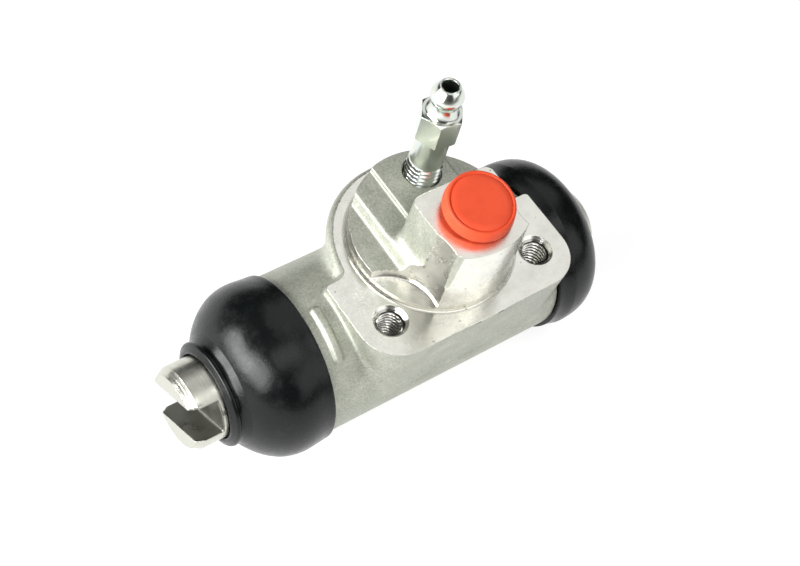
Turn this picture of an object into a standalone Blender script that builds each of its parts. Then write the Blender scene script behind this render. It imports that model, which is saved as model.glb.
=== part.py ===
"""Hydraulic wheel cylinder of a drum brake: an aluminium casting with two opposed slotted pistons.

Frame, in metres: the origin is where the axis of the round pilot meets the machined mounting face,
+Z is that face's outward normal, and X runs along the bore. Left is -X and right is +X.
"""

import math

import bmesh
import bpy
import numpy as np

# Gaps between neighbouring pieces
SEAT_GAP = 0.0003
RUNNING_GAP = 0.0002

# How far a cutter stands out of what it cuts
OVERCUT = 0.001

# Bore and barrel; both ends lie alike from the barrel's middle, which is left of the pilot's axis
MIDDLE_X = -0.0041
BORE_RADIUS = 0.009525
BORE_CHAMFER = 0.0008
AXIS_Y = -0.0015
AXIS_Z = -0.0201
AXIS_PLACE = (MIDDLE_X, AXIS_Y, AXIS_Z)
BARREL_RADIUS = 0.0182
BARREL_HALF_LENGTH = 0.0352
END_CHAMFER = 0.0005

# Turned seat that carries each dust boot, measured in from the barrel's end
SEAT_LENGTH = 0.0053
SEAT_START = BARREL_HALF_LENGTH - SEAT_LENGTH
SEAT_STEP = 0.0014
SEAT_RADIUS = BARREL_RADIUS - SEAT_STEP
GROOVE_FROM_END = 0.0039
GROOVE_START = BARREL_HALF_LENGTH - GROOVE_FROM_END
GROOVE_WIDTH = 0.0016
GROOVE_DEPTH = 0.0012

# Round mounting flange, its machined face at Z = 0, and the pilot that enters the backing plate
PILOT_RADIUS = 0.018
FACE_WIDTH = 0.0042
FLANGE_RADIUS = PILOT_RADIUS + FACE_WIDTH
FLANGE_ROUND = 0.002
FLANGE_CROWN_DEPTH = 0.0019
FLANGE_RIM_DEPTH = 0.0045
FLANGE_FOOT_INSET = 0.005
FLANGE_FOOT_RADIUS = FLANGE_RADIUS - FLANGE_FOOT_INSET
FLANGE_FOOT_DEPTH = 0.0175

# Tapped fixing holes, M6
FIXING_HOLE_X = 0.0192
FIXING_HOLE_Y = -0.013
FIXING_HOLE_RADIUS = 0.003
FIXING_HOLE_DEPTH = 0.0105
DRILL_POINT = math.radians(31)
COUNTERSINK_WIDTH = 0.0009
COUNTERSINK_RADIUS = FIXING_HOLE_RADIUS + COUNTERSINK_WIDTH

# Two-eared lug plate in front of the flange, round the two holes
LUG_SIDE_MARGIN = 0.0076
LUG_HALF_WIDTH = FIXING_HOLE_X + LUG_SIDE_MARGIN
LUG_FRONT_MARGIN = 0.00885
LUG_FRONT_Y = FIXING_HOLE_Y - LUG_FRONT_MARGIN
LUG_BACK_Y = 0.0003
LUG_CORNER_RADIUS = 0.0088
LUG_BACK_RADIUS = 0.001
LUG_DEPTH = 0.018
LUG_DRAFT = math.radians(6.5)
CAST_ALLOWANCE = 0.0006

# Stepped cast top of the pilot
FLOOR_HEIGHT = 0.0035
SHELF_HEIGHT = 0.0065
LAND_HEIGHT = 0.0078
FLOOR_EDGE_X = -0.0123
SHELF_EDGE_X = -0.0112
LAND_LEFT_X = -0.0053
LAND_RIGHT_X = 0.011
STEP_ROUND = 0.0007

# Cutter clearances round the bolt heads, cut into the pilot and the boss
SCALLOP_RADIUS = 0.0093
SCALLOP_HEIGHT = 0.0012

# Inlet boss
BOSS_TOP = 0.0193
BOSS_LEFT_X = -0.0093
BOSS_RIGHT_X = 0.0107
BOSS_FRONT_Y = -0.0195
BOSS_BACK_Y = 0.0007
BOSS_FRONT_RADIUS = 0.008
BOSS_BACK_RADIUS = 0.0016
BOSS_DRAFT = math.radians(2.5)
BOSS_FILLET = 0.0035
BOSS_FILLET_SPREAD = 0.75

# Inlet port and its shipping plug
INLET_X = 0.0009
INLET_Y = -0.0085
INLET_RADIUS = 0.0046
INLET_DEPTH = 0.0115
INLET_MOUTH_CHAMFER = 0.0006
INLET_PASSAGE_RADIUS = 0.0012
PLUG_SHIFT_X = 0.0002
PLUG_SHIFT_Y = 0.0004
PLUG_LIFT = 0.00135
PLUG_PLACE = (INLET_X + PLUG_SHIFT_X, INLET_Y + PLUG_SHIFT_Y, BOSS_TOP + PLUG_LIFT)
PLUG_TILT = (math.radians(8.3), math.radians(-2.2), 0.0)
PLUG_HEAD_RADIUS = 0.0077
PLUG_HEAD_DRAFT = 0.0004
PLUG_TOP_RADIUS = PLUG_HEAD_RADIUS - PLUG_HEAD_DRAFT
PLUG_HEAD_HEIGHT = 0.0029
PLUG_EDGE = 0.0004
PLUG_GROOVE_MARGIN = 0.0006
PLUG_GROOVE_RADIUS = PLUG_TOP_RADIUS - PLUG_GROOVE_MARGIN
PLUG_GROOVE_WIDTH = 0.0004
PLUG_GROOVE_DEPTH = 0.0003
PLUG_STEM_CLEARANCE = 0.0009
PLUG_STEM_RADIUS = INLET_RADIUS - PLUG_STEM_CLEARANCE
PLUG_STEM_TAPER = 0.0005
PLUG_STEM_END_RADIUS = PLUG_STEM_RADIUS - PLUG_STEM_TAPER
PLUG_STEM_LENGTH = 0.0058
PLUG_WALL = 0.0011

# Bleed screw, M8 thread, and its port
BLEED_X = 0.004
BLEED_Y = 0.0115
BLEED_THREAD_RADIUS = 0.0039
BLEED_MOUTH_CLEARANCE = 0.0005
BLEED_MOUTH_RADIUS = BLEED_THREAD_RADIUS + BLEED_MOUTH_CLEARANCE
BLEED_MOUTH_DEPTH = 0.0014
BLEED_HOLE_DEPTH = 0.0133
BLEED_HOLE_BOTTOM = LAND_HEIGHT - BLEED_HOLE_DEPTH
BLEED_PASSAGE_RADIUS = 0.0008
BLEED_PASSAGE_TILT = math.radians(21)
BLEED_PASSAGE_LENGTH = 0.0135

# Heights of the bleed screw, each measured up from the one before
BLEED_TIP_STANDS_OFF = 0.002
BLEED_TIP_Z = BLEED_HOLE_BOTTOM + BLEED_TIP_STANDS_OFF
BLEED_THREAD_LENGTH = 0.0163
BLEED_THREAD_TOP = BLEED_TIP_Z + BLEED_THREAD_LENGTH
BLEED_SHANK_LENGTH = 0.0084
HEX_BOTTOM = BLEED_THREAD_TOP + BLEED_SHANK_LENGTH
HEX_HEIGHT = 0.0072
HEX_TOP = HEX_BOTTOM + HEX_HEIGHT
NECK_FOOT_HEIGHT = 0.0003
NECK_FOOT_Z = HEX_TOP + NECK_FOOT_HEIGHT
NECK_LENGTH = 0.0025
NECK_Z = NECK_FOOT_Z + NECK_LENGTH
BARB_SHOULDER_RISE = 0.0012
BARB_SHOULDER_Z = NECK_Z + BARB_SHOULDER_RISE
BARB_RISE = 0.0012
BARB_Z = BARB_SHOULDER_Z + BARB_RISE
BARB_TURN_IN_RISE = 0.0005
BARB_TURN_IN_Z = BARB_Z + BARB_TURN_IN_RISE
NOSE_LENGTH = 0.002
NOSE_Z = BARB_TURN_IN_Z + NOSE_LENGTH

# Widths of the bleed screw
BLEED_TIP_RADIUS = 0.0012
BLEED_CONE_HEIGHT = 0.0024
THREAD_LEAD_IN = 0.0004
SHANK_RELIEF = 0.0002
BLEED_SHANK_RADIUS = BLEED_THREAD_RADIUS - SHANK_RELIEF
HEX_ACROSS_FLATS = 0.0084
HEX_CHAMFER_DROP = 0.0004
HEX_TURN = math.radians(53)
NECK_FOOT_RADIUS = 0.0034
NECK_RADIUS = 0.0027
BARB_RADIUS = 0.0036
BARB_ROUND = 0.0002
NOSE_RADIUS = 0.0025
NOSE_CHAMFER = 0.0003
BLEED_DRILL_RADIUS = 0.0017
BLEED_DRILL_LAND = 0.003
BLEED_DRILL_BOTTOM = BLEED_TIP_Z + BLEED_DRILL_LAND
CROSS_DRILL_RADIUS = 0.0007

# Raised marks of the casting
RIB_FROM_END = 0.0084
RIB_X = MIDDLE_X - BARREL_HALF_LENGTH + RIB_FROM_END
RIB_WIDTH = 0.0016
RIB_HEIGHT = 0.0006
RIB_START = math.radians(3)
RIB_END = math.radians(40)
LEDGE_LEFT_X = -0.0148
LEDGE_RIGHT_X = 0.0048
LEDGE_RISE = 0.0015
LEDGE_Z = AXIS_Z + LEDGE_RISE
LEDGE_HEIGHT = 0.0008
LEDGE_PROUD = 0.0007

# Pistons, their inner ends set in from the barrel's ends. The right one is pushed in further
PISTON_RADIUS = BORE_RADIUS - RUNNING_GAP
PISTON_INSET = 0.008
PISTON_INNER_X = BARREL_HALF_LENGTH - PISTON_INSET
PISTON_LENGTH = 0.0303
PISTON_PUSHED_IN = 0.0085
PISTON_INNER_CHAMFER = 0.0006
PISTON_CHAMFER_LENGTH = 0.0019
PISTON_CHAMFER_DEPTH = 0.0011
SHOE_SLOT_WIDTH = 0.0077
SHOE_SLOT_DEPTH = 0.0062
LEFT_SLOT_TURN = math.radians(31)
RIGHT_SLOT_TURN = 0.0

# Rubber cups, lips towards the middle, and the pressed expanders inside them
CUP_LENGTH = 0.0065
CUP_BACK = 0.0024
CUP_RADIUS = BORE_RADIUS - SEAT_GAP
CUP_LIP_WALL = 0.0014
CUP_LIP_CHAMFER = 0.0003
CUP_ROOT_WALL = 0.0026
CUP_ROOT_ROUND = 0.0006
CUP_HEEL = 0.0008
CUP_HOLE_RADIUS = 0.0015
EXPANDER_SHEET = 0.0005
EXPANDER_HUB_RADIUS = 0.0028
EXPANDER_HUB_HEIGHT = 0.0015
EXPANDER_RIM_PROUD = 0.0006
EXPANDER_HOLE_RADIUS = 0.001

# Return spring
SPRING_WIRE_RADIUS = 0.00045
SPRING_TURNS = 8
SPRING_POINTS_PER_TURN = 12
SPRING_END_PITCH = 2.6 * SPRING_WIRE_RADIUS

# Dust boots: a rim on the barrel's seat, a dome beyond the barrel's end and a lip on the piston
BOOT_COLLAR_WALL = 0.002
BOOT_RIM_RADIUS = SEAT_RADIUS + SEAT_GAP + BOOT_COLLAR_WALL
BOOT_RIM_LENGTH = 0.0016
BOOT_RIM_END_X = SEAT_START + SEAT_GAP + BOOT_RIM_LENGTH
BOOT_WALL = 0.0017
BOOT_LIP_RADIUS = PISTON_RADIUS + SEAT_GAP
BOOT_LIP_LENGTH = 0.0022
BOOT_BEAD_WALL = 0.002275
BOOT_BEAD_RADIUS = BOOT_LIP_RADIUS + BOOT_BEAD_WALL
BOOT_TIP_WALL = 0.000775
BOOT_TIP_RADIUS = BOOT_LIP_RADIUS + BOOT_TIP_WALL
DOME_TUCK = 0.001325
DOME_END_RADIUS = BOOT_LIP_RADIUS - DOME_TUCK

# Left boot, as moulded: its dome ends in a neck, and a bead stands on the piston
LEFT_DOME_OFFSET = 0.0012
LEFT_DOME_START_X = BARREL_HALF_LENGTH + LEFT_DOME_OFFSET
LEFT_DOME_SWELL = 0.0005
LEFT_DOME_RADIUS = BOOT_RIM_RADIUS + LEFT_DOME_SWELL
LEFT_DOME_LENGTH = 0.0116
LEFT_DOME_END_X = LEFT_DOME_START_X + LEFT_DOME_LENGTH
LEFT_DOME_POWER = 1.68
LEFT_DOME_SHARE = 0.89
BOOT_BEAD_OFFSET = 0.0007
BOOT_BEAD_X = LEFT_DOME_END_X + BOOT_BEAD_OFFSET
BOOT_BEAD_LENGTH = 0.001
BOOT_BEAD_DROP = 0.0006
BOOT_TIP_LENGTH = 0.0005
BOOT_TIP_X = BOOT_BEAD_X + BOOT_BEAD_LENGTH + BOOT_TIP_LENGTH

# Right boot, squashed: its dome bulges and rolls in round the piston
RIGHT_DOME_OFFSET = -0.0011
RIGHT_DOME_START_X = BARREL_HALF_LENGTH + RIGHT_DOME_OFFSET
RIGHT_DOME_SWELL = 0.0007
RIGHT_DOME_RADIUS = BOOT_RIM_RADIUS + RIGHT_DOME_SWELL
RIGHT_DOME_LENGTH = 0.0106
RIGHT_DOME_END_X = RIGHT_DOME_START_X + RIGHT_DOME_LENGTH
RIGHT_DOME_POWER = 2.6
RIGHT_DOME_SHARE = 0.965
RIGHT_INNER_SHARE = 0.95
ROLL_ROUND = 0.0008
ROLL_DROP = 0.00024
ROLL_DEPTH = 0.00104
ROLL_WIDTH = 0.00152
ROLL_BEAD_SETBACK = 0.00032

# Sides of a turned shape, by its size
BARREL_STEPS = 60
ROUND_STEPS = 64
MIDDLE_STEPS = 36
SMALL_STEPS = 24
HOLE_STEPS = 12
DOME_STEPS = 7
HOLLOW_STEPS = 6


def clear_scene():
    for found in list(bpy.data.objects):
        bpy.data.objects.remove(found, do_unlink=True)


def material(name, colour, roughness, metallic):
    made = bpy.data.materials.new(name)
    made.use_nodes = True
    shader = made.node_tree.nodes["Principled BSDF"]
    shader.inputs["Base Color"].default_value = (*colour, 1.0)
    shader.inputs["Roughness"].default_value = roughness
    shader.inputs["Metallic"].default_value = metallic
    made.diffuse_color = (*colour, 1.0)
    return made


def add_mesh(name, points, faces, finish=None, origin=(0.0, 0.0, 0.0)):
    """A mesh object whose faces point outwards, with its own origin at the given place."""
    mesh = bpy.data.meshes.new(name)
    mesh.from_pydata(np.asarray(points, float).tolist(), [], faces)
    shaped = bmesh.new()
    shaped.from_mesh(mesh)
    bmesh.ops.recalc_face_normals(shaped, faces=shaped.faces)
    shaped.to_mesh(mesh)
    shaped.free()
    mesh.shade_smooth()
    mesh.set_sharp_from_angle(angle=math.radians(30))
    if finish is not None:
        mesh.materials.append(finish)
    made = bpy.data.objects.new(name, mesh)
    made.location = origin
    bpy.context.scene.collection.objects.link(made)
    return made


def as_helper(made):
    made.hide_render = True
    made.display_type = "WIRE"
    return made


def boolean(target, other, operation):
    """Adds, cuts or keeps the other shape, which stays in the scene as a hidden helper."""
    step = target.modifiers.new(other.name, "BOOLEAN")
    step.operation = operation
    step.solver = "EXACT"
    step.object = as_helper(other)


def arc(centre, radius, start, end, steps):
    """Points of an arc, its angles in radians, both ends included."""
    angles = np.linspace(start, end, steps + 1)
    return [(centre[0] + radius * math.cos(a), centre[1] + radius * math.sin(a)) for a in angles]


def rounded(corners, steps=4):
    """A closed outline whose corners, given as (x, y, radius), are replaced by arcs."""
    outline = []
    count = len(corners)
    for i, (x, y, radius) in enumerate(corners):
        here = np.array([x, y])
        if radius <= 0:
            outline.append((x, y))
            continue
        back = np.array(corners[i - 1][:2]) - here
        ahead = np.array(corners[(i + 1) % count][:2]) - here
        back /= np.linalg.norm(back)
        ahead /= np.linalg.norm(ahead)
        half = math.acos(np.clip(back @ ahead, -1, 1)) / 2
        middle = here + (back + ahead) / np.linalg.norm(back + ahead) * radius / math.sin(half)
        first = here + back * radius / math.tan(half) - middle
        last = here + ahead * radius / math.tan(half) - middle
        start = math.atan2(first[1], first[0])
        sweep = math.atan2(first[0] * last[1] - first[1] * last[0], first @ last)
        outline += arc(middle, radius, start, start + sweep, steps)
    return outline


def loft(rings):
    """Points and faces of a solid through rings of equal count, with its two ends closed."""
    count = len(rings[0])
    points = np.concatenate([np.asarray(ring, float) for ring in rings])
    faces = []
    for level in range(len(rings) - 1):
        low = level * count
        for i in range(count):
            j = (i + 1) % count
            faces.append((low + i, low + j, low + count + j, low + count + i))
    faces.append(tuple(range(count - 1, -1, -1)))
    faces.append(tuple(range(len(points) - count, len(points))))
    return points, faces


def revolve(profile, steps, axis, side=1):
    """Turns (along, radius) points about X or Z. A profile that ends where it starts is a ring."""
    closed = profile[0] == profile[-1]
    ring = profile[:-1] if closed else profile
    along = np.array([side * point[0] for point in ring])[:, None]
    radius = np.array([point[1] for point in ring])[:, None]
    angles = np.arange(steps) * 2 * math.pi / steps
    across = radius * np.cos(angles)
    up = radius * np.sin(angles)
    along = np.broadcast_to(along, across.shape)
    order = (along, across, up) if axis == "X" else (across, up, along)
    points = np.stack(order, axis=-1).reshape(-1, 3)
    faces = []
    for level in range(len(ring) if closed else len(ring) - 1):
        low = level * steps
        high = (level + 1) % len(ring) * steps
        for i in range(steps):
            j = (i + 1) % steps
            faces.append((low + i, low + j, high + j, high + i))
    if not closed:
        faces.append(tuple(range(steps)))
        faces.append(tuple(range(len(points) - steps, len(points))))
    return points, faces


def turned(name, profile, steps, axis, finish=None, origin=(0.0, 0.0, 0.0), side=1):
    points, faces = revolve(profile, steps, axis, side)
    return add_mesh(name, points, faces, finish, origin)


def extruded(name, outline, low, high, axis):
    """A prism: an outline in XY raised along Z, or an outline in XZ drawn along Y."""
    if axis == "Z":
        rings = [[(x, y, level) for x, y in outline] for level in (low, high)]
    else:
        rings = [[(x, level, z) for x, z in outline] for level in (low, high)]
    return add_mesh(name, *loft(rings))


def mirrored_profile(half):
    """The half profile from the middle outwards, with its mirror image before it."""
    return [(-along, radius) for along, radius in reversed(half)] + list(half)


def barrel_shape(finish):
    """As-cast barrel with its two turned boot seats, still without its bore."""
    groove_end = GROOVE_START + GROOVE_WIDTH
    groove_radius = SEAT_RADIUS - GROOVE_DEPTH
    half = [
        (SEAT_START, BARREL_RADIUS),
        (SEAT_START, SEAT_RADIUS),
        (GROOVE_START, SEAT_RADIUS),
        (GROOVE_START, groove_radius),
        (groove_end, groove_radius),
        (groove_end, SEAT_RADIUS),
        (BARREL_HALF_LENGTH - END_CHAMFER, SEAT_RADIUS),
        (BARREL_HALF_LENGTH, SEAT_RADIUS - END_CHAMFER),
    ]
    points, faces = revolve(mirrored_profile(half), BARREL_STEPS, "X")
    return add_mesh("cylinder_body", points + np.array(AXIS_PLACE), faces, finish)


def flange_shape():
    """Round flange with a rounded rim, its underside sloping in to the barrel."""
    middle = (-FLANGE_CROWN_DEPTH, FLANGE_RADIUS - FLANGE_ROUND)
    rim = [(z, r) for r, z in arc(middle[::-1], FLANGE_ROUND, math.pi / 2, 0, 5)]
    profile = rim + [
        (-FLANGE_RIM_DEPTH, FLANGE_RADIUS),
        (-FLANGE_FOOT_DEPTH, FLANGE_FOOT_RADIUS),
    ]
    return turned("flange_form", profile, ROUND_STEPS, "Z")


def lug_outline(growth):
    left = -LUG_HALF_WIDTH - growth
    front = LUG_FRONT_Y - growth
    corner = LUG_CORNER_RADIUS + growth
    return rounded(
        [
            (left, front, corner),
            (-left, front, corner),
            (-left, LUG_BACK_Y, LUG_BACK_RADIUS),
            (left, LUG_BACK_Y, LUG_BACK_RADIUS),
        ],
        steps=8,
    )


def lug_shape():
    """Plate with two ears, drawn in as it goes down; the right ear is turned clear of the boot."""
    levels = [(CAST_ALLOWANCE, 0.0), (0.0, 0.0), (-LUG_DEPTH, -LUG_DEPTH * math.tan(LUG_DRAFT))]
    rings = [[(x, y, z) for x, y in lug_outline(growth)] for z, growth in levels]
    form = add_mesh("lug_form", *loft(rings))
    rim_clear = BOOT_RIM_RADIUS + SEAT_GAP
    dome_clear = RIGHT_DOME_RADIUS + SEAT_GAP
    relief = [
        (SEAT_START - RUNNING_GAP, rim_clear),
        (BOOT_RIM_END_X, rim_clear),
        (RIGHT_DOME_START_X, dome_clear),
        (RIGHT_DOME_END_X + OVERCUT, dome_clear),
    ]
    relief_cut = turned("boot_relief_cut", relief, BARREL_STEPS, "X", origin=AXIS_PLACE)
    boolean(form, relief_cut, "DIFFERENCE")
    return form


def pilot_shape():
    """Stepped top of the pilot, drawn right across it along Y and trimmed round by the facing cut."""
    reach = PILOT_RADIUS + OVERCUT
    outline = rounded(
        [
            (-reach, -OVERCUT, 0),
            (reach, -OVERCUT, 0),
            (reach, SHELF_HEIGHT, 0),
            (LAND_RIGHT_X, SHELF_HEIGHT, STEP_ROUND / 2),
            (LAND_RIGHT_X, LAND_HEIGHT, STEP_ROUND / 2),
            (LAND_LEFT_X, LAND_HEIGHT, STEP_ROUND / 2),
            (LAND_LEFT_X, SHELF_HEIGHT, STEP_ROUND / 2),
            (SHELF_EDGE_X, SHELF_HEIGHT, STEP_ROUND),
            (FLOOR_EDGE_X, FLOOR_HEIGHT, STEP_ROUND),
            (-reach, FLOOR_HEIGHT, 0),
        ],
        steps=3,
    )
    form = extruded("pilot_form", outline, -reach, reach, "Y")
    rough = PILOT_RADIUS + CAST_ALLOWANCE
    round_profile = [(-2 * OVERCUT, rough), (LAND_HEIGHT + OVERCUT, rough)]
    boolean(form, turned("pilot_round_form", round_profile, ROUND_STEPS, "Z"), "INTERSECT")
    return form


def boss_outline(growth):
    left = BOSS_LEFT_X - growth
    right = BOSS_RIGHT_X + growth
    front = BOSS_FRONT_Y - growth
    back = BOSS_BACK_Y + growth
    return rounded(
        [
            (left, front, BOSS_FRONT_RADIUS + growth),
            (right, front, BOSS_FRONT_RADIUS + growth),
            (right, back, BOSS_BACK_RADIUS + growth),
            (left, back, BOSS_BACK_RADIUS + growth),
        ],
        steps=7,
    )


def boss_shape():
    """Inlet boss: steep drafted walls with a hollow fillet where they reach the shelf."""
    fillet_top = SHELF_HEIGHT + BOSS_FILLET
    levels = [(BOSS_TOP, 0.0), (fillet_top, (BOSS_TOP - fillet_top) * math.tan(BOSS_DRAFT))]
    straight = levels[-1][1]
    for part in (0.35, 0.65, 0.85, 1.0):
        drop = BOSS_FILLET * part
        spread = BOSS_FILLET - math.sqrt(BOSS_FILLET**2 - drop**2)
        levels.append((fillet_top - drop, straight + spread * BOSS_FILLET_SPREAD))
    levels.append((CAST_ALLOWANCE, levels[-1][1]))
    rings = [[(x, y, z) for x, y in boss_outline(growth)] for z, growth in levels]
    return add_mesh("boss_form", *loft(rings))


def facing_cut():
    """All that stands outside the pilot above the mounting face, removed in one facing pass."""
    outer = LUG_HALF_WIDTH * 2
    high = BOSS_TOP + OVERCUT
    profile = [(0.0, PILOT_RADIUS), (high, PILOT_RADIUS), (high, outer), (0.0, outer)]
    return turned("facing_cut", profile + profile[:1], ROUND_STEPS, "Z")


def scallop_cut(side):
    """Vertical cutter centred on a fixing hole, which clears the bolt's head."""
    profile = [(SCALLOP_HEIGHT, SCALLOP_RADIUS), (BOSS_TOP + OVERCUT, SCALLOP_RADIUS)]
    origin = (side * FIXING_HOLE_X, FIXING_HOLE_Y, 0.0)
    return turned(f"scallop_cut_{side}", profile, ROUND_STEPS, "Z", origin=origin)


def fixing_hole(side):
    sink = COUNTERSINK_RADIUS - FIXING_HOLE_RADIUS
    point_radius = FIXING_HOLE_RADIUS * 0.1
    point_depth = (FIXING_HOLE_RADIUS - point_radius) * math.tan(DRILL_POINT)
    profile = [
        (OVERCUT, COUNTERSINK_RADIUS + OVERCUT),
        (-sink, FIXING_HOLE_RADIUS),
        (-FIXING_HOLE_DEPTH, FIXING_HOLE_RADIUS),
        (-FIXING_HOLE_DEPTH - point_depth, point_radius),
    ]
    origin = (side * FIXING_HOLE_X, FIXING_HOLE_Y, 0.0)
    return turned(f"fixing_hole_{side}", profile, SMALL_STEPS, "Z", origin=origin)


def bore_cut():
    mouth = BARREL_HALF_LENGTH - BORE_CHAMFER
    half = [
        (mouth, BORE_RADIUS),
        (BARREL_HALF_LENGTH + OVERCUT, BORE_RADIUS + BORE_CHAMFER + OVERCUT),
    ]
    return turned("bore_cut", mirrored_profile(half), BARREL_STEPS, "X", origin=AXIS_PLACE)


def inlet_cut():
    """Tapped port with a chamfered mouth, a drill point and a passage down to the bore."""
    floor = BOSS_TOP - INLET_DEPTH
    cone = (INLET_RADIUS - INLET_PASSAGE_RADIUS) * math.tan(DRILL_POINT)
    profile = [
        (BOSS_TOP + OVERCUT, INLET_RADIUS + INLET_MOUTH_CHAMFER + OVERCUT),
        (BOSS_TOP - INLET_MOUTH_CHAMFER, INLET_RADIUS),
        (floor, INLET_RADIUS),
        (floor - cone, INLET_PASSAGE_RADIUS),
        (AXIS_Z, INLET_PASSAGE_RADIUS),
    ]
    return turned("inlet_cut", profile, SMALL_STEPS, "Z", origin=(INLET_X, INLET_Y, 0.0))


def bleed_cut():
    """Stepped hole for the bleed screw, ending in the cone that its tip shuts."""
    hole = BLEED_THREAD_RADIUS + SEAT_GAP
    cone_top = BLEED_HOLE_BOTTOM + (hole - BLEED_PASSAGE_RADIUS)
    profile = [
        (LAND_HEIGHT + OVERCUT, BLEED_MOUTH_RADIUS),
        (LAND_HEIGHT - BLEED_MOUTH_DEPTH, BLEED_MOUTH_RADIUS),
        (LAND_HEIGHT - BLEED_MOUTH_DEPTH, hole),
        (cone_top, hole),
        (BLEED_HOLE_BOTTOM, BLEED_PASSAGE_RADIUS),
    ]
    return turned("bleed_cut", profile, SMALL_STEPS, "Z", origin=(BLEED_X, BLEED_Y, 0.0))


def bleed_passage_cut():
    """Slanting drilling from the foot of the bleed port into the side of the bore."""
    profile = [(BLEED_PASSAGE_RADIUS, BLEED_PASSAGE_RADIUS), (-BLEED_PASSAGE_LENGTH, BLEED_PASSAGE_RADIUS)]
    origin = (BLEED_X, BLEED_Y, BLEED_HOLE_BOTTOM)
    made = turned("bleed_passage_cut", profile, HOLE_STEPS, "Z", origin=origin)
    made.rotation_euler = (-BLEED_PASSAGE_TILT, 0.0, 0.0)
    return made


def rib_shape():
    """Short raised rib that follows the barrel round, beside the left boot."""
    angles = np.linspace(RIB_START, RIB_END, 9)
    rings = []
    for angle in angles:
        out = np.array([0.0, -math.sin(angle), math.cos(angle)])
        middle = np.array([RIB_X, AXIS_Y, AXIS_Z])
        section = [(-1.0, -1.0), (1.0, -1.0), (0.75, 0.6), (0.35, 1.0), (-0.35, 1.0), (-0.75, 0.6)]
        ring = []
        for across, rise in section:
            foot = middle + out * (BARREL_RADIUS + RIB_HEIGHT * rise)
            ring.append(foot + np.array([across * RIB_WIDTH / 2, 0.0, 0.0]))
        rings.append(ring)
    return add_mesh("rib_form", *loft(rings))


def ledge_shape():
    """Low ledge along the mould's joint, on the front of the barrel just above its axis."""
    front = AXIS_Y - math.sqrt(BARREL_RADIUS**2 - LEDGE_RISE**2)
    low = LEDGE_Z - LEDGE_HEIGHT / 2
    high = LEDGE_Z + LEDGE_HEIGHT / 2
    rings = []
    for x in (LEDGE_LEFT_X, LEDGE_RIGHT_X):
        rings.append(
            [
                (x, front - LEDGE_PROUD, low),
                (x, front - LEDGE_PROUD, high),
                (x, front + 3 * LEDGE_PROUD, high),
                (x, front + 3 * LEDGE_PROUD, low),
            ]
        )
    return add_mesh("ledge_form", *loft(rings))


def make_body(finish):
    body = barrel_shape(finish)
    for form in (flange_shape(), lug_shape(), pilot_shape(), boss_shape(), rib_shape(), ledge_shape()):
        boolean(body, form, "UNION")
    boolean(body, facing_cut(), "DIFFERENCE")
    for side in (-1, 1):
        boolean(body, scallop_cut(side), "DIFFERENCE")
        boolean(body, fixing_hole(side), "DIFFERENCE")
    for cut in (bore_cut(), inlet_cut(), bleed_cut(), bleed_passage_cut()):
        boolean(body, cut, "DIFFERENCE")


def make_piston(name, side, inner, slot_turn, finish):
    """Solid piston with a chamfered outer end and a slot across it for the brake shoe's web."""
    outer = inner + PISTON_LENGTH
    profile = [
        (inner, PISTON_RADIUS - PISTON_INNER_CHAMFER),
        (inner + PISTON_INNER_CHAMFER, PISTON_RADIUS),
        (outer - PISTON_CHAMFER_LENGTH, PISTON_RADIUS),
        (outer, PISTON_RADIUS - PISTON_CHAMFER_DEPTH),
    ]
    piston = turned(name, profile, BARREL_STEPS, "X", finish, AXIS_PLACE, side)
    floor = side * (outer - SHOE_SLOT_DEPTH)
    mouth = side * (outer + OVERCUT)
    half = SHOE_SLOT_WIDTH / 2
    reach = PISTON_RADIUS + OVERCUT
    corners = [(-reach, -half), (reach, -half), (reach, half), (-reach, half)]
    rings = [[(x, y, z) for y, z in corners] for x in (floor, mouth)]
    slot = add_mesh(f"{name}_slot_cut", *loft(rings), origin=AXIS_PLACE)
    slot.rotation_euler = (-slot_turn, 0.0, 0.0)
    boolean(piston, slot, "DIFFERENCE")


def make_cup(name, side, inner, finish):
    """Moulded seal: a flat back on the piston and a lip that opens towards the middle."""
    back = inner - SEAT_GAP
    front = back - CUP_LENGTH
    root = back - CUP_BACK
    root_radius = CUP_RADIUS - CUP_ROOT_WALL
    profile = [
        (back, CUP_HOLE_RADIUS),
        (back, CUP_RADIUS - CUP_HEEL),
        (back - CUP_HEEL, CUP_RADIUS),
        (front + CUP_LIP_CHAMFER, CUP_RADIUS),
        (front, CUP_RADIUS - CUP_LIP_CHAMFER),
        (front, CUP_RADIUS - CUP_LIP_WALL),
        (root - CUP_ROOT_ROUND, root_radius),
        (root, root_radius - CUP_ROOT_ROUND),
        (root, CUP_HOLE_RADIUS),
    ]
    turned(name, profile + profile[:1], MIDDLE_STEPS, "X", finish, AXIS_PLACE, side)


def expander_front(inner):
    """Where the spring stands, in front of a piston whose inner face is at the given place."""
    return inner - SEAT_GAP - CUP_BACK - SEAT_GAP - EXPANDER_SHEET


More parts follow.
